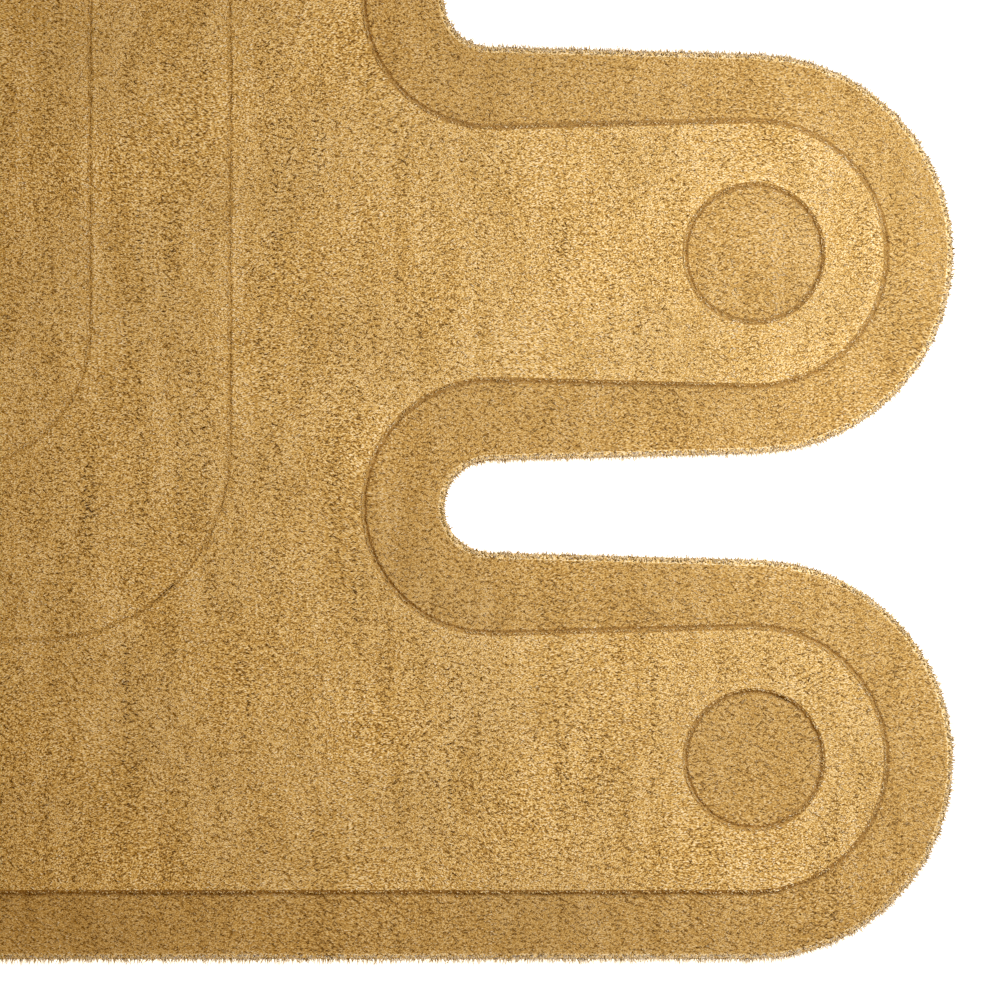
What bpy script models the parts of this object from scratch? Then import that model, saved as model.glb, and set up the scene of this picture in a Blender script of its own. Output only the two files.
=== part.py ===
"""Tufted wool rug with round lobes at its ends, lying flat, in metres with the floor at Z = 0.

The rug is one piece: wool pile tufted through a backing, cut to a plain outline with equal lobes and
equal slots at both ends. The field inside the border line stands a little proud of the border. The
border line, the round discs in the lobes and the nested panels in the middle are carved into the pile.
"""

import math

import bmesh
import bpy

RUG_NAME = "tufted_rug"

# The rug along X and Y.
LENGTH = 2.408
WIDTH = 1.920

# Heights above the floor. The field's own slab starts inside the border's.
BORDER_TOP = 0.0135
FIELD_TOP = 0.0160
FIELD_FOOT = 0.0060
RIM_ROUND = 0.0060
RIM_STEPS = 2

# Each end of the rug has equal round lobes, evenly spaced, with a round-ended slot between two.
LOBES_PER_END = 4
LOBE_RADIUS = 0.200
SLOT_RADIUS = 0.046
SLOT_CENTRE_X = 0.740
ARC_SAG = 0.0006

# The border line follows the edge, this far inside the lobes and behind the slots.
BAND_AT_LOBES = 0.066
BAND_AT_SLOTS = 0.080

# Carved lines are V cuts. Their slopes run on past the pile's top, so that the lips lean back.
LINE_DEPTH = 0.0050
LINE_HALF_WIDTH = 0.0026
CUTTER_RISE = 0.0060

# A round disc lies in each lobe, level with the border, with a V cut round it.
DISC_RADIUS = 0.068
DISC_STEPS = 48

# Nested panels in the middle of the rug. Columns: half length in x, half width in y, corner radius.
PANELS = (
    (0.480, 0.640, 0.190),
    (0.340, 0.470, 0.140),
    (0.200, 0.300, 0.090),
)

WELD = 0.00005
FLAT_ANGLE = math.radians(0.1)

# Ochre wool, as linear red, green and blue.
WOOL_COLOUR = (0.552, 0.309, 0.084, 1.0)
WOOL_ROUGHNESS = 0.95


def clear_scene():
    """Remove every object that the file starts with."""
    for thing in list(bpy.data.objects):
        bpy.data.objects.remove(thing, do_unlink=True)


def add_collection(name):
    """Add a collection to the scene."""
    collection = bpy.data.collections.new(name)
    bpy.context.scene.collection.children.link(collection)
    return collection


def wool_material():
    """Ochre wool pile, matt."""
    material = bpy.data.materials.new("ochre_wool_pile")
    material.use_nodes = True
    shader = material.node_tree.nodes["Principled BSDF"]
    shader.inputs["Base Color"].default_value = WOOL_COLOUR
    shader.inputs["Roughness"].default_value = WOOL_ROUGHNESS
    shader.inputs["Metallic"].default_value = 0.0
    return material


def lobe_centres():
    """Centres of the lobes at the rug's right end, from the lowest Y up, and the step between them."""
    step = (WIDTH - 2.0 * LOBE_RADIUS) / (LOBES_PER_END - 1)
    x = LENGTH / 2.0 - LOBE_RADIUS
    lowest = LOBE_RADIUS - WIDTH / 2.0
    return [(x, lowest + number * step) for number in range(LOBES_PER_END)], step


def edge_rounds(inset_share):
    """All rounds that the edge runs over, counter-clockwise: (x, y, signed radius).

    A lobe's radius is positive and a slot's is negative. inset_share 0 gives the rug's edge and 1 the
    border line, a lobe shrinking and a slot growing by the band's width.
    """
    centres, step = lobe_centres()
    right_end = []
    for x, y in centres:
        right_end.append((x, y, LOBE_RADIUS - inset_share * BAND_AT_LOBES))
        right_end.append((SLOT_CENTRE_X, y + step / 2.0, -SLOT_RADIUS - inset_share * BAND_AT_SLOTS))
    right_end.pop()
    return right_end + [(-x, -y, radius) for x, y, radius in right_end]


def belt(rounds):
    """Points of the belt that touches each round in turn, with arcs joined by straight tangents."""
    leave = []
    for index, (x, y, radius) in enumerate(rounds):
        next_x, next_y, next_radius = rounds[(index + 1) % len(rounds)]
        distance = math.hypot(next_x - x, next_y - y)
        heading = math.atan2(next_y - y, next_x - x)
        leave.append(heading - math.acos((radius - next_radius) / distance))
    points = []
    for index, (x, y, radius) in enumerate(rounds):
        start = leave[index - 1]
        turn = (leave[index] - start) % math.tau
        if radius < 0.0:
            turn -= math.tau
        step = 2.0 * math.acos(1.0 - ARC_SAG / abs(radius))
        count = max(2, math.ceil(abs(turn) / step))
        for number in range(count + 1):
            angle = start + turn * number / count
            points.append((x + radius * math.cos(angle), y + radius * math.sin(angle)))
    return points


def panel_rounds(half_length, half_width, corner):
    """The four corner rounds of a panel, counter-clockwise: (x, y, radius)."""
    x, y = half_length - corner, half_width - corner
    return [(x, -y, corner), (x, y, corner), (-x, y, corner), (-x, -y, corner)]


def closed_curve(name, points, dimensions):
    """A closed curve of straight steps through the points, at the object's own height."""
    curve = bpy.data.curves.new(name, "CURVE")
    curve.dimensions = dimensions
    spline = curve.splines.new("POLY")
    spline.points.add(len(points) - 1)
    for point, (x, y) in zip(spline.points, points):
        point.co = (x, y, 0.0, 1.0)
    spline.use_cyclic_u = True
    return curve


def curve_to_solid(name, curve, height, collection):
    """Turn a curve into a closed mesh object at that height, with its caps welded on."""
    guide = bpy.data.objects.new(name + "_guide", curve)
    guide.location.z = height
    bpy.context.scene.collection.objects.link(guide)
    bpy.context.view_layer.update()
    graph = bpy.context.evaluated_depsgraph_get()
    mesh = bpy.data.meshes.new_from_object(guide.evaluated_get(graph))
    shape = bmesh.new()
    shape.from_mesh(mesh)
    bmesh.ops.remove_doubles(shape, verts=shape.verts, dist=WELD)
    bmesh.ops.recalc_face_normals(shape, faces=shape.faces)
    bmesh.ops.dissolve_limit(shape, angle_limit=FLAT_ANGLE, verts=shape.verts, edges=shape.edges)
    shape.to_mesh(mesh)
    shape.free()
    solid = bpy.data.objects.new(name, mesh)
    solid.matrix_world = guide.matrix_world.copy()
    collection.objects.link(solid)
    bpy.data.objects.remove(guide, do_unlink=True)
    return solid


def slab(name, points, bottom, top, collection):
    """A flat slab with that outline, from one height to the other."""
    curve = closed_curve(name, points, "2D")
    curve.fill_mode = "BOTH"
    curve.extrude = (top - bottom) / 2.0
    return curve_to_solid(name, curve, (top + bottom) / 2.0, collection)


def line_profile():
    """The V section that a carved line takes out, with its point at the bottom."""
    slope = LINE_HALF_WIDTH / LINE_DEPTH
    top_half_width = slope * (LINE_DEPTH + CUTTER_RISE)
    points = ((0.0, -LINE_DEPTH), (top_half_width, CUTTER_RISE), (-top_half_width, CUTTER_RISE))
    curve = closed_curve("line_profile", points, "2D")
    profile = bpy.data.objects.new("line_profile", curve)
    bpy.context.scene.collection.objects.link(profile)
    return profile


def line_cutter(name, points, height, profile, collection):
    """The cutter for a carved line that runs along the points, in pile of that height."""
    curve = closed_curve(name, points, "3D")
    curve.twist_mode = "Z_UP"
    curve.bevel_mode = "OBJECT"
    curve.bevel_object = profile
    return curve_to_solid(name, curve, height, collection)


def disc_cutter(name, x, y, collection):
    """The cutter for a disc: a turned solid with a level floor and a V cut round it."""
    slope = LINE_HALF_WIDTH / LINE_DEPTH
    lip = DISC_RADIUS + slope * (LINE_DEPTH + CUTTER_RISE)
    profile = (
        (0.0, CUTTER_RISE),
        (lip, CUTTER_RISE),
        (DISC_RADIUS, -LINE_DEPTH),
        (DISC_RADIUS - LINE_HALF_WIDTH, 0.0),
        (0.0, 0.0),
    )
    shape = bmesh.new()
    verts = [shape.verts.new((radius, 0.0, z)) for radius, z in profile]
    edges = [shape.edges.new(pair) for pair in zip(verts, verts[1:])]
    bmesh.ops.spin(shape, geom=verts + edges, cent=(0.0, 0.0, 0.0), axis=(0.0, 0.0, 1.0),
                   angle=math.tau, steps=DISC_STEPS)
    bmesh.ops.remove_doubles(shape, verts=shape.verts, dist=WELD)
    bmesh.ops.recalc_face_normals(shape, faces=shape.faces)
    mesh = bpy.data.meshes.new(name)
    shape.to_mesh(mesh)
    shape.free()
    cutter = bpy.data.objects.new(name, mesh)
    cutter.location = (x, y, BORDER_TOP)
    collection.objects.link(cutter)
    return cutter


def round_rim(rug):
    """Round the upper edge of the border slab, where the cut pile falls away."""
    mesh = rug.data
    weights = mesh.attributes.new("bevel_weight_edge", "FLOAT", "EDGE")
    wall_edges = set()
    for polygon in mesh.polygons:
        if abs(polygon.normal.z) < 0.5:
            wall_edges.update(polygon.edge_keys)
    for edge in mesh.edges:
        on_top = all(mesh.vertices[index].co.z > 0.0 for index in edge.vertices)
        if on_top and edge.key in wall_edges:
            weights.data[edge.index].value = 1.0
    bevel = rug.modifiers.new("rim", "BEVEL")
    bevel.limit_method = "WEIGHT"
    bevel.width = RIM_ROUND
    bevel.segments = RIM_STEPS
    bevel.use_clamp_overlap = False


def boolean(rug, operation, name, cutter):
    """Join a solid to the rug or cut it out, and keep the solid as a wire guide."""
    modifier = rug.modifiers.new(name, "BOOLEAN")
    modifier.operation = operation
    modifier.solver = "EXACT"
    modifier.object = cutter
    cutter.hide_render = True
    cutter.display_type = "WIRE"


def build_rug():
    """Model the rug: border slab, raised field, then every carved line and disc."""
    parts = add_collection(RUG_NAME)
    cutters = add_collection("cutters")
    edge = belt(edge_rounds(0.0))
    border_line = belt(edge_rounds(1.0))

    rug = slab("rug", edge, 0.0, BORDER_TOP, parts)
    rug.data.materials.clear()
    rug.data.materials.append(wool_material())
    round_rim(rug)
    field = slab("field", border_line, FIELD_FOOT, FIELD_TOP, cutters)
    boolean(rug, "UNION", "raised_field", field)

    profile = line_profile()
    cutter = line_cutter("border_line", border_line, BORDER_TOP, profile, cutters)
    boolean(rug, "DIFFERENCE", "border_line", cutter)
    for number, (half_length, half_width, corner) in enumerate(PANELS, start=1):
        name = f"panel_line_{number}"
        points = belt(panel_rounds(half_length, half_width, corner))
        cutter = line_cutter(name, points, FIELD_TOP, profile, cutters)
        boolean(rug, "DIFFERENCE", name, cutter)
    bpy.data.objects.remove(profile, do_unlink=True)

    centres, step = lobe_centres()
    number = 0
    for lobe_x, lobe_y in centres:
        for side in (1.0, -1.0):
            number += 1
            name = f"disc_{number}"
            cutter = disc_cutter(name, side * lobe_x, lobe_y, cutters)
            boolean(rug, "DIFFERENCE", name, cutter)
    return rug


clear_scene()
build_rug()
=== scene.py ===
"""The looks of a tufted wool rug with round lobes at its ends, seen from straight above."""

import math

import bmesh
import bpy
import numpy as np
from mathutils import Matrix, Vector, noise
from mathutils.bvhtree import BVHTree
from mathutils.kdtree import KDTree


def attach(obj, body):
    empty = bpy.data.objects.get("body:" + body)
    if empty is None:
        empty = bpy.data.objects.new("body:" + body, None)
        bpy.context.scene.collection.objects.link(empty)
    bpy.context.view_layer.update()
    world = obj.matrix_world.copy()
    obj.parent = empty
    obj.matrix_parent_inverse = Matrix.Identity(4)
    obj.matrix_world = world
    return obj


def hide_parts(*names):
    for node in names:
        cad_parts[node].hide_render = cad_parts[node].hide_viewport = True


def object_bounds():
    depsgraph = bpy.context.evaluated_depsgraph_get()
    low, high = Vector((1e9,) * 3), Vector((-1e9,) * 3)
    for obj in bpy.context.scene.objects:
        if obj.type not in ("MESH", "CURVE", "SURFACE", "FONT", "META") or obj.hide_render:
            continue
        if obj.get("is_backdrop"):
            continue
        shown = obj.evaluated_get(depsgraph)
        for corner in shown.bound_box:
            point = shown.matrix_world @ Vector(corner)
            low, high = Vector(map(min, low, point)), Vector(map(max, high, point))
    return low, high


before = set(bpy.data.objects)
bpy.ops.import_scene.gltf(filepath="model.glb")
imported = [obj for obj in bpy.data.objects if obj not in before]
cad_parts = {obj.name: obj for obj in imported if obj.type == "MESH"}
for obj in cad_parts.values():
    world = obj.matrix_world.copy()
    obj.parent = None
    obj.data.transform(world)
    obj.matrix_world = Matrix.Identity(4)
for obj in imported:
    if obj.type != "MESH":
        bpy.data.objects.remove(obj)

low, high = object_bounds()
MM = 0.001

# Ground of the pile, and backing.
# The real piece is a cotton canvas that the wool yarn is tufted through, with a plain woven cotton cloth
# glued under it. Here it is the CAD rug, lowered to the foot of the yarn ends.

BACKING_TOP = 4.0 * MM
GROUND_DROP = 1.3 * MM
STEP_HEIGHT = 1.0 * MM
RIM_KEPT = 4.0 * MM
WELD = 0.02 * MM

# Slopes of faces, as the Z of their normals: a level top, a wall and the underside.
TOP_SLOPE = 0.99
WALL_SLOPE = -0.1
UNDERSIDE_SLOPE = -0.9
EDGE_FOOT = 0.1 * MM

# Carved lines. Two faces that meet below this angle, in radians, make a line's bottom. A panel's line
# lies higher than the lines of the border and the discs, and it is filled up more.
VALLEY_ANGLE = -1.0
CUT_BARE = 1.2 * MM
CUT_REACH = 3.2 * MM
CUT_RISE = 1.7 * MM
PANEL_RISE = 3.4 * MM
PANEL_VALLEY = 10.0 * MM
CUT_SPACING = 0.7 * MM
EDGE_SPACING = 1.0 * MM

# Grain of the wool. The rows of tufts run along Y, and the fibres lie more or less along X.
FIBRE_PITCH = 0.85 * MM
FIBRE_STRETCH = 0.5
FIBRE_CONTRAST = 4.5
FIBRE_RELIEF = 1.2 * MM
PILE_STEP = 2.5 * MM
LEVEL_SHIFT = 0.31 * MM
SWIRL_LENGTH = 140.0 * MM
SWIRL_SHIFT = 70.0 * MM
PATCH_LENGTH = 45.0 * MM
PATCH_STRETCH = (2.0, 0.5, 1.0)
PATCH_CONTRAST = 0.65
TONE_RANGE = (1.95, 3.95)
WOOL_COLOURS = ((0.0, "#513408"), (0.35, "#A97B2C"), (0.6, "#D4AA52"), (0.8, "#E9C87A"), (1.0, "#F9E3AE"))
# Colour of the wool in painted shade, in the carved lines and on the sunk border and discs.
PAINTED_SHADE_WOOL = "#A87F38"

# Tones of the ground: a higher tone is paler. The field is painted paler than the sunk ground, the
# carved lines darker and the rim paler: painted light and painted shade. A shade from 0 to 1 is painted
# shade, which turns the wool to its shaded colour.
GROUND_TONE = 0.45
FIELD_TONE = 0.52
CUT_WALL_PAINTED_SHADE_TONE = 0.25
RIM_PAINTED_LIGHT_TONE = 0.9
LOW_SHADE = 0.3
CUT_SHADE = 0.6
PANEL_SHADE = 0.1

CLOTH_REPEAT = 2.6 * MM
CLOTH_RELIEF = 0.5 * MM
CLOTH_COLOURS = ((0.0, "#A8977A"), (1.0, "#D8CBAF"))


def linear(code):
    """An sRGB hex colour as linear red, green and blue, with an alpha of 1."""
    values = [int(code[start:start + 2], 16) / 255.0 for start in (1, 3, 5)]
    return tuple(v / 12.92 if v <= 0.04045 else ((v + 0.055) / 1.055) ** 2.4 for v in values) + (1.0,)


def node(tree, kind, inputs=(), stops=(), **settings):
    """Add a node. inputs are (socket, value or output socket) pairs, and settings are the node's own.

    stops are a colour ramp's (place, hex colour) pairs, from 0 to 1.
    """
    made = tree.nodes.new(kind)
    for name, value in settings.items():
        setattr(made, name, value)
    for socket, value in inputs:
        if isinstance(value, bpy.types.NodeSocket):
            tree.links.new(value, made.inputs[socket])
        else:
            made.inputs[socket].default_value = value
    for number, (place, code) in enumerate(stops):
        elements = made.color_ramp.elements
        last = number == len(stops) - 1
        element = elements[0] if number == 0 else elements[-1] if last else elements.new(place)
        element.color = linear(code)
    return made


def shader_of(material):
    """The material's tree and its Principled shader."""
    material.use_nodes = True
    tree = material.node_tree
    return tree, tree.nodes["Principled BSDF"]


def sheared_wool():
    """Ochre wool yarn, tufted and sheared, with its tone and its painted shade from the mesh.

    Shearing opens every yarn end, which gives the eye a matt grain of pale tips and dark gaps. A fibre is
    far too fine to show, so the grain is drawn coarser, in marks of about 0.85 by 1.7 mm.
    """
    material = bpy.data.materials.new("ochre wool, tufted and sheared")
    tree, shader = shader_of(material)
    place = node(tree, "ShaderNodeTexCoord").outputs["Object"]

    # The way that the fibres lie turns slowly over the rug.
    swirl = node(tree, "ShaderNodeTexNoise", [
        ("Vector", place), ("Scale", 1.0 / SWIRL_LENGTH), ("Detail", 0.0)]).outputs["Color"]
    combed = node(tree, "ShaderNodeVectorMath", [
        (0, swirl), (1, (SWIRL_SHIFT, SWIRL_SHIFT, 0.0)), (2, place)],
        operation="MULTIPLY_ADD").outputs["Vector"]

    # The noise is weaker at some heights than at others. The step between the field and the border is
    # made one whole unit of it, so that both show the same grain.
    along = node(tree, "ShaderNodeMapping", [
        ("Vector", combed), ("Location", (0.0, 0.0, LEVEL_SHIFT)),
        ("Scale", (FIBRE_STRETCH, 1.0, FIBRE_PITCH / PILE_STEP))]).outputs["Vector"]
    fibre = node(tree, "ShaderNodeTexNoise", [
        ("Vector", along), ("Scale", 1.0 / FIBRE_PITCH), ("Detail", 1.0), ("Roughness", 0.6)]).outputs["Fac"]

    # Tufts of one row have a like tone, which shows as soft streaks along the rows.
    in_rows = node(tree, "ShaderNodeMapping", [
        ("Vector", combed), ("Scale", PATCH_STRETCH)]).outputs["Vector"]
    patch = node(tree, "ShaderNodeTexNoise", [
        ("Vector", in_rows), ("Scale", 1.0 / PATCH_LENGTH), ("Detail", 3.0)]).outputs["Fac"]

    tone = node(tree, "ShaderNodeAttribute", attribute_name="tone").outputs["Fac"]
    mixed = node(tree, "ShaderNodeMath", [(0, fibre), (1, FIBRE_CONTRAST), (2, tone)],
                 operation="MULTIPLY_ADD")
    mixed = node(tree, "ShaderNodeMath", [(0, patch), (1, PATCH_CONTRAST), (2, mixed.outputs[0])],
                 operation="MULTIPLY_ADD")
    level = node(tree, "ShaderNodeMapRange", [
        ("Value", mixed.outputs[0]), ("From Min", TONE_RANGE[0]), ("From Max", TONE_RANGE[1])])
    colour = node(tree, "ShaderNodeValToRGB", [("Fac", level.outputs["Result"])], stops=WOOL_COLOURS)
    # Painted shade: the shade attribute mixes the wool towards its colour in painted shade.
    shade = node(tree, "ShaderNodeAttribute", attribute_name="shade").outputs["Fac"]
    painted_shade_mix = node(tree, "ShaderNodeMix", [
        ("Factor", shade), (6, colour.outputs["Color"]), (7, linear(PAINTED_SHADE_WOOL))], data_type="RGBA")
    tree.links.new(painted_shade_mix.outputs[2], shader.inputs["Base Color"])
    bump = node(tree, "ShaderNodeBump", [("Height", fibre), ("Strength", 0.8), ("Distance", FIBRE_RELIEF)])
    tree.links.new(bump.outputs["Normal"], shader.inputs["Normal"])
    shader.inputs["Roughness"].default_value = 0.7
    shader.inputs["Specular IOR Level"].default_value = 0.22
    shader.inputs["Sheen Weight"].default_value = 0.05
    shader.inputs["Sheen Roughness"].default_value = 0.5
    return material


def woven_cotton():
    """Undyed cotton cloth, plain woven.

    Weaving gives the eye a dull, pale, even check of threads over and under each other. Real threads are
    too fine to show, so they are drawn coarser, 1.3 mm apart.
    """
    material = bpy.data.materials.new("undyed cotton, plain woven")
    tree, shader = shader_of(material)
    place = node(tree, "ShaderNodeTexCoord").outputs["Object"]
    turns = node(tree, "ShaderNodeVectorMath", [(0, place), ("Scale", math.tau / CLOTH_REPEAT)],
                 operation="SCALE")
    axes = node(tree, "ShaderNodeSeparateXYZ", [(0, turns.outputs["Vector"])])
    across = node(tree, "ShaderNodeMath", [(0, axes.outputs["X"])], operation="SINE")
    along = node(tree, "ShaderNodeMath", [(0, axes.outputs["Y"])], operation="SINE")
    weave = node(tree, "ShaderNodeMath", [(0, across.outputs[0]), (1, along.outputs[0])],
                 operation="MULTIPLY")
    level = node(tree, "ShaderNodeMapRange", [("Value", weave.outputs[0]), ("From Min", -1.0)])
    colour = node(tree, "ShaderNodeValToRGB", [("Fac", level.outputs["Result"])], stops=CLOTH_COLOURS)
    tree.links.new(colour.outputs["Color"], shader.inputs["Base Color"])
    bump = node(tree, "ShaderNodeBump", [
        ("Height", weave.outputs[0]), ("Strength", 0.6), ("Distance", CLOTH_RELIEF)])
    tree.links.new(bump.outputs["Normal"], shader.inputs["Normal"])
    shader.inputs["Roughness"].default_value = 0.95
    return material


def flat_map(mesh):
    """A UV map straight down on the rug, one unit across its long side, for the patterns to be baked on."""
    layer = mesh.uv_layers.new(name="OFBake")
    size = max(high.x - low.x, high.y - low.y)
    co = np.empty(len(mesh.vertices) * 3, np.float32)
    mesh.vertices.foreach_get("co", co)
    loops = np.empty(len(mesh.loops), np.int32)
    mesh.loops.foreach_get("vertex_index", loops)
    flat = co.reshape(-1, 3)[loops, :2] / size + 0.5
    layer.uv.foreach_set("vector", np.ascontiguousarray(flat, np.float32).ravel())


def store(mesh, name, values, domain):
    """Store a value at each point or on each face: how pale the wool is, or how strong its painted shade."""
    layer = mesh.attributes.new(name, "FLOAT", domain)
    layer.data.foreach_set("value", np.ascontiguousarray(values, np.float32).ravel())


def spread(segments, step):
    """Points every step along the segments, with each segment's own direction repeated for its points."""
    points, ways = [], []
    for start, end, way in segments:
        length = (end - start).length
        for share in np.arange(step / 2.0, length, step) / length:
            points.append(start.lerp(end, share))
            ways.append(way)
    return np.array(points), np.array(ways)


def tree_of(points):
    """A search tree of the points, flat on the floor."""
    tree = KDTree(len(points))
    for index, (x, y, z) in enumerate(points):
        tree.insert((x, y, 0.0), index)
    tree.balance()
    return tree


def carved_lines_and_edge(mesh):
    """Segments at the bottoms of the carved lines, and segments of the outline with their way out."""
    shape = bmesh.new()
    shape.from_mesh(mesh)
    cuts, outline = [], []
    for edge in shape.edges:
        if len(edge.link_faces) != 2:
            continue
        start, end = (vert.co.copy() for vert in edge.verts)
        slopes = [face.normal.z for face in edge.link_faces]
        if max(start.z, end.z) < EDGE_FOOT and max(slopes) > WALL_SLOPE:
            wall = max(edge.link_faces, key=lambda face: face.normal.z)
            outline.append((start, end, wall.normal.copy()))
        elif edge.calc_face_angle_signed() < VALLEY_ANGLE:
            along = (end - start).normalized()
            cuts.append((start, end, Vector((-along.y, along.x, 0.0))))
    shape.free()
    return cuts, outline


WOOL = sheared_wool()
CLOTH = woven_cotton()

cad_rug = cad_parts["rug"]
ground = cad_rug.copy()
ground.data = cad_rug.data.copy()
ground.name = "pile_ground"
ground.data.name = "pile_ground"
for key in list(ground.keys()):
    del ground[key]
ground.parent = None
bpy.context.scene.collection.objects.link(ground)
bpy.ops.object.select_all(action="DESELECT")
bpy.context.view_layer.objects.active = ground
ground.select_set(True)
bpy.ops.object.mode_set(mode="EDIT")
bpy.ops.mesh.select_all(action="SELECT")
bpy.ops.mesh.remove_doubles(threshold=WELD)
bpy.ops.object.mode_set(mode="OBJECT")

# The yarn ends are set out on the rug's surface as it is before the ground is lowered.
surface = BVHTree.FromPolygons(
    [vertex.co.copy() for vertex in ground.data.vertices],
    [tuple(polygon.vertices) for polygon in ground.data.polygons])
cuts, outline = carved_lines_and_edge(ground.data)
cut_tree = tree_of(spread(cuts, CUT_SPACING)[0])
edge_tree = tree_of(spread(outline, EDGE_SPACING)[0])

ground.data.materials.clear()
ground.data.materials.append(WOOL)
ground.data.materials.append(CLOTH)
ground_tones, ground_shades = [], []
# Painted shade on the sunk tops and in the carved lines; painted light on the field and the rim.
for polygon in ground.data.polygons:
    in_cut = cut_tree.find((polygon.center.x, polygon.center.y, 0.0))[2] < CUT_REACH
    if polygon.normal.z > TOP_SLOPE:
        sunk_here = polygon.center.z < high.z - STEP_HEIGHT
        ground_tones.append(GROUND_TONE if sunk_here else FIELD_TONE)
        ground_shades.append(LOW_SHADE * sunk_here)
    else:
        ground_tones.append(CUT_WALL_PAINTED_SHADE_TONE if in_cut else RIM_PAINTED_LIGHT_TONE)
        lowest = min(ground.data.vertices[index].co.z for index in polygon.vertices)
        ground_shades.append((PANEL_SHADE if lowest > PANEL_VALLEY else CUT_SHADE) * in_cut)
    polygon.material_index = 1 if polygon.normal.z < UNDERSIDE_SLOPE else 0
store(ground.data, "tone", ground_tones, "FACE")
store(ground.data, "shade", ground_shades, "FACE")
for vertex in ground.data.vertices:
    flat = (vertex.co.x, vertex.co.y, 0.0)
    if cut_tree.find(flat)[2] < CUT_BARE:
        vertex.co.z += PANEL_RISE if vertex.co.z > PANEL_VALLEY else CUT_RISE
    elif vertex.co.z > BACKING_TOP and edge_tree.find(flat)[2] > RIM_KEPT:
        vertex.co.z -= GROUND_DROP
ground.data.shade_flat()
flat_map(ground.data)
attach(ground, "root")
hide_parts("rug")

# Wool pile.
# The real piece is plied wool yarn, tufted in close rows and sheared level, so that each end opens.
# Each small leaning wedge, rooted in the ground, stands for one or two yarn ends, in bands of rows.

ROW_PITCH = 4.5 * MM
STITCH_PITCH = 4.8 * MM
STITCH_JITTER = 0.25
BANDS = 5
ROOT_DEPTH = 2.4 * MM
RIDGE = 5.0 * MM
RIDGE_SPREAD = (0.6, 1.4)
RIDGE_TURN = 0.5
RIDGE_TILT = 0.5 * MM
TIP_RISE = 0.4 * MM
FOOT = 2.2 * MM
FOOT_SPREAD = (0.7, 1.3)
LEAN = 0.7 * MM
FLARE = 1.0 * MM
DROP_FROM = 0.1
RIM_BARE = 1.5 * MM
RIM_REACH = 9.0 * MM

# Lips of the carved lines, where shorter ends lean in from both sides. A raised lip stands on the field.
LIP_STEP = 1.3 * MM
LIP_REACH = (1.2 * MM, 3.2 * MM)
LIP_OVERHANG = 0.8 * MM
LIP_ROUND = 1.0 * MM
LIP_RIDGE_SPREAD = (0.4, 0.8)
LIP_WANDER = 1.4 * MM
WANDER_LENGTH = 50.0 * MM
LIP_LEVEL = 5.0 * MM

# Tones of the yarn ends: a higher tone is paler. The sunk border and discs are in painted shade, most near
# the lines. The roots and the ends close to a line are painted darker, and the rim and the field's ends near
# the lines paler: painted shade and painted light.
YARN_TONES = (0.4, 0.7)
ROOT_SHADE = 0.2
STREAK_LENGTH = 90.0 * MM
STREAK_TONE = 0.2
ROWS_ALIKE = 3
NEAR_RIM_PAINTED_LIGHT = 0.8
NEAR_CUT_PAINTED_SHADE = 0.15
NARROW_AT_CUT = 0.4
LIP_SHADE = 0.3
RAISED_LIP_PAINTED_LIGHT = 0.15
LINE_SHADE = 0.55
SHADE_REACH = 16.0 * MM
PAINTED_LIGHT_REACH = 24.0 * MM
FIELD_EDGE_PAINTED_LIGHT = 0.45
rng = np.random.default_rng(11)


def landings(xs, ys):
    """Drop each point on the rug's surface: which ones land, their heights and the surface normals."""
    down = Vector((0.0, 0.0, -1.0))
    lands = np.zeros(len(xs), bool)
    heights = np.zeros(len(xs))
    normals = np.zeros((len(xs), 3))
    for index, (x, y) in enumerate(zip(xs, ys)):
        hit, normal, face, distance = surface.ray_cast(Vector((x, y, DROP_FROM)), down)
        if hit is not None:
            lands[index] = True
            heights[index] = hit.z
            normals[index] = normal
    return lands, heights, normals


def wedges(name, roots, foot_edges, tips, ridge_edges, tones, shades, wool):
    """One mesh of closed wedges, each with a foot edge about its root and a ridge edge about its tip."""
    count = len(roots)
    corners = np.stack([roots - foot_edges / 2, roots + foot_edges / 2,
                        tips - ridge_edges / 2, tips + ridge_edges / 2], axis=1)
    sides = np.array([(0, 2, 1), (0, 1, 3), (0, 3, 2), (1, 2, 3)])
    inside_out = np.einsum("ij,ij->i", np.cross(foot_edges, ridge_edges), tips - roots) > 0.0
    corners[inside_out] = corners[inside_out][:, [1, 0, 2, 3]]
    faces = (np.arange(count)[:, None, None] * 4 + sides[None]).reshape(-1)
    mesh = bpy.data.meshes.new(name)
    mesh.vertices.add(count * 4)
    mesh.vertices.foreach_set("co", corners.astype(np.float32).ravel())
    mesh.loops.add(count * 12)
    mesh.loops.foreach_set("vertex_index", faces.astype(np.int32))
    mesh.polygons.add(count * 4)
    mesh.polygons.foreach_set("loop_start", np.arange(0, count * 12, 3, dtype=np.int32))
    mesh.update(calc_edges=True)
    # The roots take a lower tone: painted shade between the yarn ends.
    store(mesh, "tone", np.stack([tones - ROOT_SHADE, tones - ROOT_SHADE, tones, tones], axis=1), "POINT")
    store(mesh, "shade", np.repeat(shades, 4), "POINT")
    mesh.materials.append(wool)
    flat_map(mesh)
    made = bpy.data.objects.new(name, mesh)
    bpy.context.scene.collection.objects.link(made)
    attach(made, "root")
    return made


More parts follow.
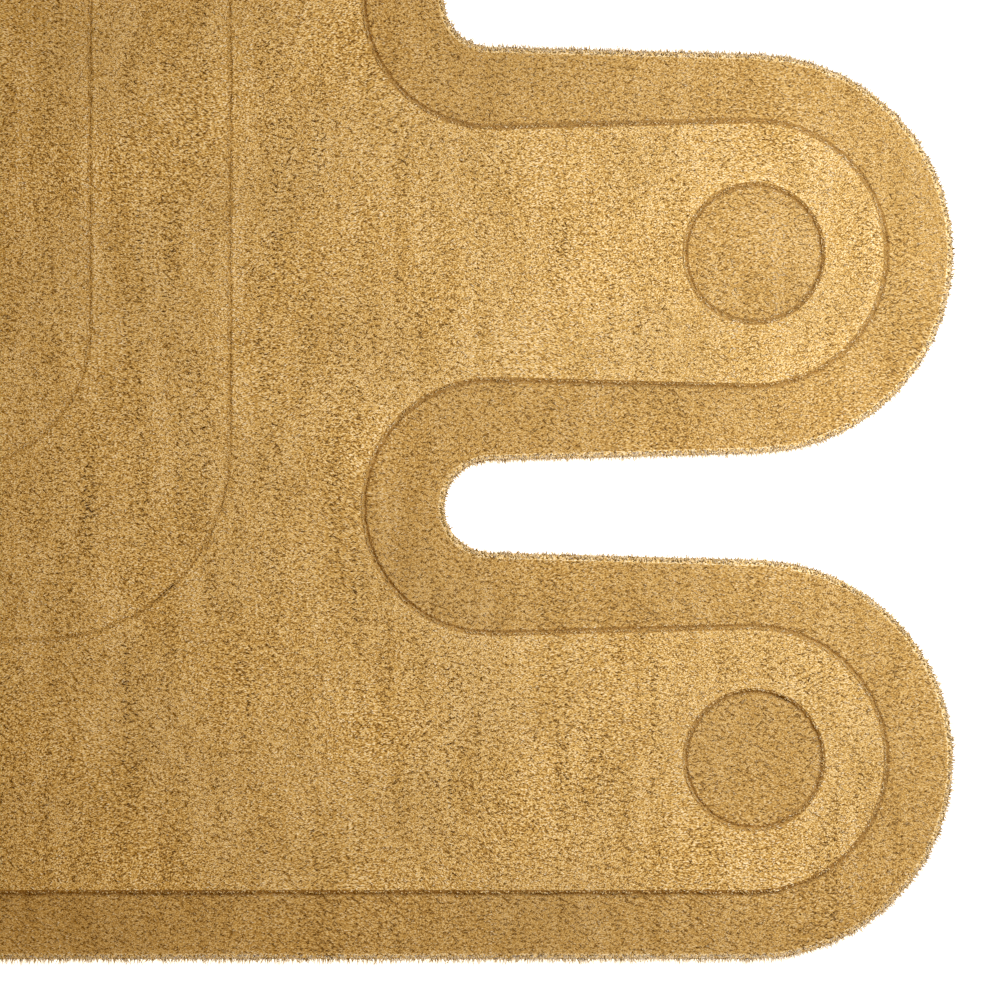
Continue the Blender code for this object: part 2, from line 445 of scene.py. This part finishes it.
# Yarn ends in rows over the whole rug. Along its length, each row is by turns paler and darker.
rows = np.arange(low.x, high.x, ROW_PITCH)
stitches = np.arange(low.y, high.y, STITCH_PITCH)
grid_x, grid_y = np.meshgrid(rows, stitches, indexing="ij")
grid_y = grid_y + (np.arange(len(rows)) % 2)[:, None] * STITCH_PITCH / 2.0
streak_nodes = rng.normal(0.0, STREAK_TONE, (len(rows), int((high.y - low.y) / STREAK_LENGTH) + 3))
streak_nodes += np.repeat(streak_nodes[::ROWS_ALIKE], ROWS_ALIKE, axis=0)[:len(rows)]
streak_place = (grid_y[0] - low.y) / STREAK_LENGTH
streaks = np.array([np.interp(streak_place, np.arange(len(row)), row) for row in streak_nodes]).ravel()
all_x = grid_x.ravel() + rng.normal(0.0, STITCH_JITTER * ROW_PITCH, grid_x.size)
all_y = grid_y.ravel() + rng.normal(0.0, STITCH_JITTER * STITCH_PITCH, grid_y.size)
lands, heights, normals = landings(all_x, all_y)
edge_gap = np.full(len(all_x), np.inf)
cut_gap = np.full(len(all_x), np.inf)
for index in np.nonzero(lands)[0]:
    point = (all_x[index], all_y[index], 0.0)
    edge_gap[index] = edge_tree.find(point)[2]
    cut_gap[index] = cut_tree.find(point)[2]
kept = lands & (cut_gap > CUT_BARE) & (edge_gap > RIM_BARE)
all_x, all_y, heights, normals = all_x[kept], all_y[kept], heights[kept], normals[kept]
edge_gap, cut_gap, streaks = edge_gap[kept], cut_gap[kept], streaks[kept]
near_rim = np.clip(1.0 - edge_gap / RIM_REACH, 0.0, 1.0)
near_cut = np.clip(1.0 - cut_gap / CUT_REACH, 0.0, 1.0)
# Painted shade on the sunk ends, strongest near the lines.
sunk = (heights < high.z - STEP_HEIGHT) & (near_cut == 0.0)
shades = sunk * (LOW_SHADE + LINE_SHADE * np.clip(1.0 - cut_gap / SHADE_REACH, 0.0, 1.0))
# Painted light: ends on the field near the lines are paler.
painted_field_light = ~sunk * FIELD_EDGE_PAINTED_LIGHT * np.clip(1.0 - cut_gap / PAINTED_LIGHT_REACH, 0.0, 1.0)

row_count = len(all_x)
angles = rng.normal(0.0, RIDGE_TURN, row_count)
ridge = RIDGE * rng.uniform(*RIDGE_SPREAD, row_count) * (1.0 - NARROW_AT_CUT * near_cut)
tilts = rng.normal(0.0, RIDGE_TILT, row_count) * (1.0 - near_cut)
leans = rng.normal(0.0, LEAN, (row_count, 2)) * (1.0 - near_cut)[:, None]
leans += normals[:, :2] * (FLARE * (near_rim > 0.0))[:, None]
# Paler near the rim and on the field near the lines, darker close to a line: painted light and shade.
tones = rng.uniform(*YARN_TONES, row_count) + streaks + NEAR_RIM_PAINTED_LIGHT * near_rim - NEAR_CUT_PAINTED_SHADE * near_cut + painted_field_light

# Shorter ends on the lips of the carved lines lean in over them from both sides.
lip_places, lip_ways = spread(cuts, LIP_STEP)
lip_count = len(lip_places)
offsets = rng.uniform(*LIP_REACH, lip_count)
wander = LIP_WANDER * np.array([noise.noise(Vector(place) / WANDER_LENGTH) for place in lip_places])
lip_places = lip_places + lip_ways * wander[:, None]
lip_ways = lip_ways * rng.choice((-1.0, 1.0), lip_count)[:, None]
lip_places = lip_places + lip_ways * offsets[:, None]
lip_heights = landings(lip_places[:, 0], lip_places[:, 1])[1]
lip_angles = np.arctan2(lip_ways[:, 0], -lip_ways[:, 1]) + rng.normal(0.0, RIDGE_TURN, lip_count)
beside = lip_places + lip_ways * (LIP_LEVEL - offsets)[:, None]
lip_tops = landings(beside[:, 0], beside[:, 1])[1]
raised = lip_tops > high.z - STEP_HEIGHT
# Painted light: lip ends on the raised side are paler.
lip_tones = rng.uniform(*YARN_TONES, lip_count) + RAISED_LIP_PAINTED_LIGHT * raised
lip_rise = np.where(raised, lip_tops - lip_heights - LIP_ROUND * (1.0 - offsets / LIP_REACH[1]), 0.0)

all_x = np.append(all_x, lip_places[:, 0])
all_y = np.append(all_y, lip_places[:, 1])
heights = np.append(heights, lip_heights)
angles = np.append(angles, lip_angles)
ridge = np.append(ridge, RIDGE * rng.uniform(*LIP_RIDGE_SPREAD, lip_count))
tilts = np.append(tilts, np.zeros(lip_count))
leans = np.append(leans, -LIP_OVERHANG * lip_ways[:, :2], axis=0)
tones = np.append(tones, lip_tones)
# Painted shade on the lip ends of the low side.
shades = np.append(shades, LIP_SHADE * ~raised)

# All the wedges, in bands of the same number of yarn ends along X.
yarn_count = row_count + lip_count
rises = rng.normal(0.0, TIP_RISE, yarn_count) + np.append(np.zeros(row_count), lip_rise)
foot = FOOT * rng.uniform(*FOOT_SPREAD, yarn_count)
ridge_edges = np.stack([ridge * np.cos(angles), ridge * np.sin(angles), tilts], axis=1)
foot_edges = np.stack([-foot * np.sin(angles), foot * np.cos(angles), np.zeros(yarn_count)], axis=1)
roots = np.stack([all_x, all_y, np.maximum(heights - ROOT_DEPTH, BACKING_TOP / 2)], axis=1)
tips = np.stack([all_x + leans[:, 0], all_y + leans[:, 1], heights + rises], axis=1)
band_edges = np.quantile(all_x, np.linspace(0.0, 1.0, BANDS + 1))
band_edges[-1] += 1.0
for band in range(BANDS):
    chosen = (all_x >= band_edges[band]) & (all_x < band_edges[band + 1])
    wedges(f"wool_pile_band_{band + 1}", roots[chosen], foot_edges[chosen], tips[chosen],
                       ridge_edges[chosen], tones[chosen], shades[chosen], WOOL)

# Rim of the pile.
# The real piece is the outermost yarn ends, which lean out past the backing and open into fine fibres.
# Each is a thin blade rooted in the rug's rounded rim, and together they make the rug's soft edge.

BLADE_STEP = 0.37 * MM
BLADE_INSET = (0.5 * MM, 6.0 * MM)
BLADE_LENGTH = (4.5 * MM, 9.0 * MM)
BLADE_TURN = 0.45
BLADE_ROOT = 1.5 * MM
BLADE_RISE = 2.5 * MM
RISE_SPREAD = 1.0 * MM
BLADE_FOOT = 1.2 * MM
BLADE_TIP = 0.4 * MM
RIM_ROUND = 6.0 * MM
RIM_TOP = 13.5 * MM
LOWEST_TIP = 0.6 * MM

# Low blades stand out of the rim's wall, under the others.
LOW_SHARE = 0.25
LOW_INSET = 2.5 * MM
LOW_HEIGHTS = (2.0 * MM, 8.0 * MM)
LOW_LENGTH = 0.6

# The blades' tones are raised, most at the outside and on the low blades in shade: painted light.
BLADE_TONES = (1.0, 1.3)
OUTER_BLADE_PAINTED_LIGHT = 0.6
LOW_BLADE_PAINTED_LIGHT = 0.5
OPEN_SHEEN = 0.4


def open_wool():
    """Ochre wool opened into single fibres, with the sheared wool's grain.

    Light that runs along the loose fibres gives the eye a soft sheen at the rug's edge, paled further by
    painted light.
    """
    material = WOOL.copy()
    material.name = "ochre wool, opened into fibres"
    shader = shader_of(material)[1]
    shader.inputs["Sheen Weight"].default_value = OPEN_SHEEN
    return material


rim_points, rim_outs = spread(outline, BLADE_STEP)
blade_count = len(rim_points)
turns = rng.normal(0.0, BLADE_TURN, blade_count)
cosines, sines = np.cos(turns), np.sin(turns)
ways = np.stack([rim_outs[:, 0] * cosines - rim_outs[:, 1] * sines,
                 rim_outs[:, 0] * sines + rim_outs[:, 1] * cosines, np.zeros(blade_count)], axis=1)
insets = rng.uniform(*BLADE_INSET, blade_count)
lows = rng.random(blade_count) < LOW_SHARE
insets[lows] = LOW_INSET
rounded = RIM_TOP - RIM_ROUND + np.sqrt(RIM_ROUND ** 2 - (RIM_ROUND - insets) ** 2)
root_heights = np.where(lows, rng.uniform(*LOW_HEIGHTS, blade_count), rounded - BLADE_ROOT)
lengths = rng.uniform(*BLADE_LENGTH, blade_count) * np.where(lows, LOW_LENGTH, 1.0)
roots = rim_points - rim_outs * insets[:, None]
roots[:, 2] = root_heights
tips = roots + ways * lengths[:, None]
tips[:, 2] = np.clip(root_heights + rng.normal(BLADE_RISE, RISE_SPREAD, blade_count), LOWEST_TIP, RIM_TOP)
foot_edges = np.stack([-ways[:, 1], ways[:, 0], np.zeros(blade_count)], axis=1) * BLADE_FOOT
ridge_edges = np.tile((0.0, 0.0, BLADE_TIP), (blade_count, 1))
# Painted light: the blade tones are raised, most at the outside and on the low blades.
blade_tones = rng.uniform(*BLADE_TONES, blade_count)
blade_tones += OUTER_BLADE_PAINTED_LIGHT * (1.0 - insets / BLADE_INSET[1]) + LOW_BLADE_PAINTED_LIGHT * lows
rim = wedges("wool_rim", roots, foot_edges, tips, ridge_edges, blade_tones, np.zeros(blade_count),
             open_wool())

# Floor.
# The real piece is a plain white floor, painted matt, that the rug lies on. It isn't part of the rug.
# It glows as a lit table does, so that the rug's shadow doesn't grey it.

FLOOR_SIZE = 200.0
FLOOR_GAP = 0.5 * MM


def matt_white_paint():
    """White paint, rolled matt. It gives the eye an even white with no gloss and no grain."""
    material = bpy.data.materials.new("white paint, rolled matt")
    tree, shader = shader_of(material)
    shader.inputs["Base Color"].default_value = linear("#FAFAFA")
    shader.inputs["Roughness"].default_value = 0.9
    shader.inputs["Emission Color"].default_value = linear("#FFFFFF")
    shader.inputs["Emission Strength"].default_value = 1.0
    return material


bpy.ops.mesh.primitive_plane_add(size=FLOOR_SIZE, location=(0.0, 0.0, -FLOOR_GAP))
floor = bpy.context.active_object
floor.name = "floor"
floor.data.materials.append(matt_white_paint())
floor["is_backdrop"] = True

# Light.
# The real one is a large soft lamp at the rug's upper right. Its light falls off to the left and down.
# An even warm surround fills the shadows.

LAMP_SIZE = 1.0
LAMP_POWER = 34.5
LAMP_COLOUR = "#D0DBFF"
LAMP_PLACE = (1.47, -0.22, 1.2)
LAMP_AIM = (1.14, -0.7, 0.0)
SURROUND_COLOUR = "#FFD248"
SURROUND_STRENGTH = 0.42

lamp_data = bpy.data.lights.new("soft lamp", "AREA")
lamp_data.shape = "RECTANGLE"
lamp_data.size = LAMP_SIZE
lamp_data.size_y = LAMP_SIZE
lamp_data.energy = LAMP_POWER
lamp_data.color = linear(LAMP_COLOUR)[:3]
lamp = bpy.data.objects.new("soft lamp", lamp_data)
lamp.location = LAMP_PLACE
lamp.rotation_euler = (Vector(LAMP_AIM) - lamp.location).to_track_quat("-Z", "Y").to_euler()
bpy.context.scene.collection.objects.link(lamp)

world = bpy.data.worlds.new("warm surround")
world.use_nodes = True
background = world.node_tree.nodes["Background"]
background.inputs["Color"].default_value = linear(SURROUND_COLOUR)
background.inputs["Strength"].default_value = SURROUND_STRENGTH
bpy.context.scene.world = world
bpy.context.scene.view_settings.view_transform = "Standard"

# Camera.
# It looks straight down on the front right corner. The picture is square and one metre wide there.
# The lens is long, so the rug shows almost no perspective.

VIEW_WIDTH = 1.0
VIEW_MIDDLE = (0.75, -0.50)
LENS = 150.0

camera_data = bpy.data.cameras.new("camera")
camera_data.lens = LENS
camera = bpy.data.objects.new("camera", camera_data)
camera.location = (*VIEW_MIDDLE, high.z + VIEW_WIDTH * LENS / camera_data.sensor_width)
bpy.context.scene.collection.objects.link(camera)
bpy.context.scene.camera = camera

low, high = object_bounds()
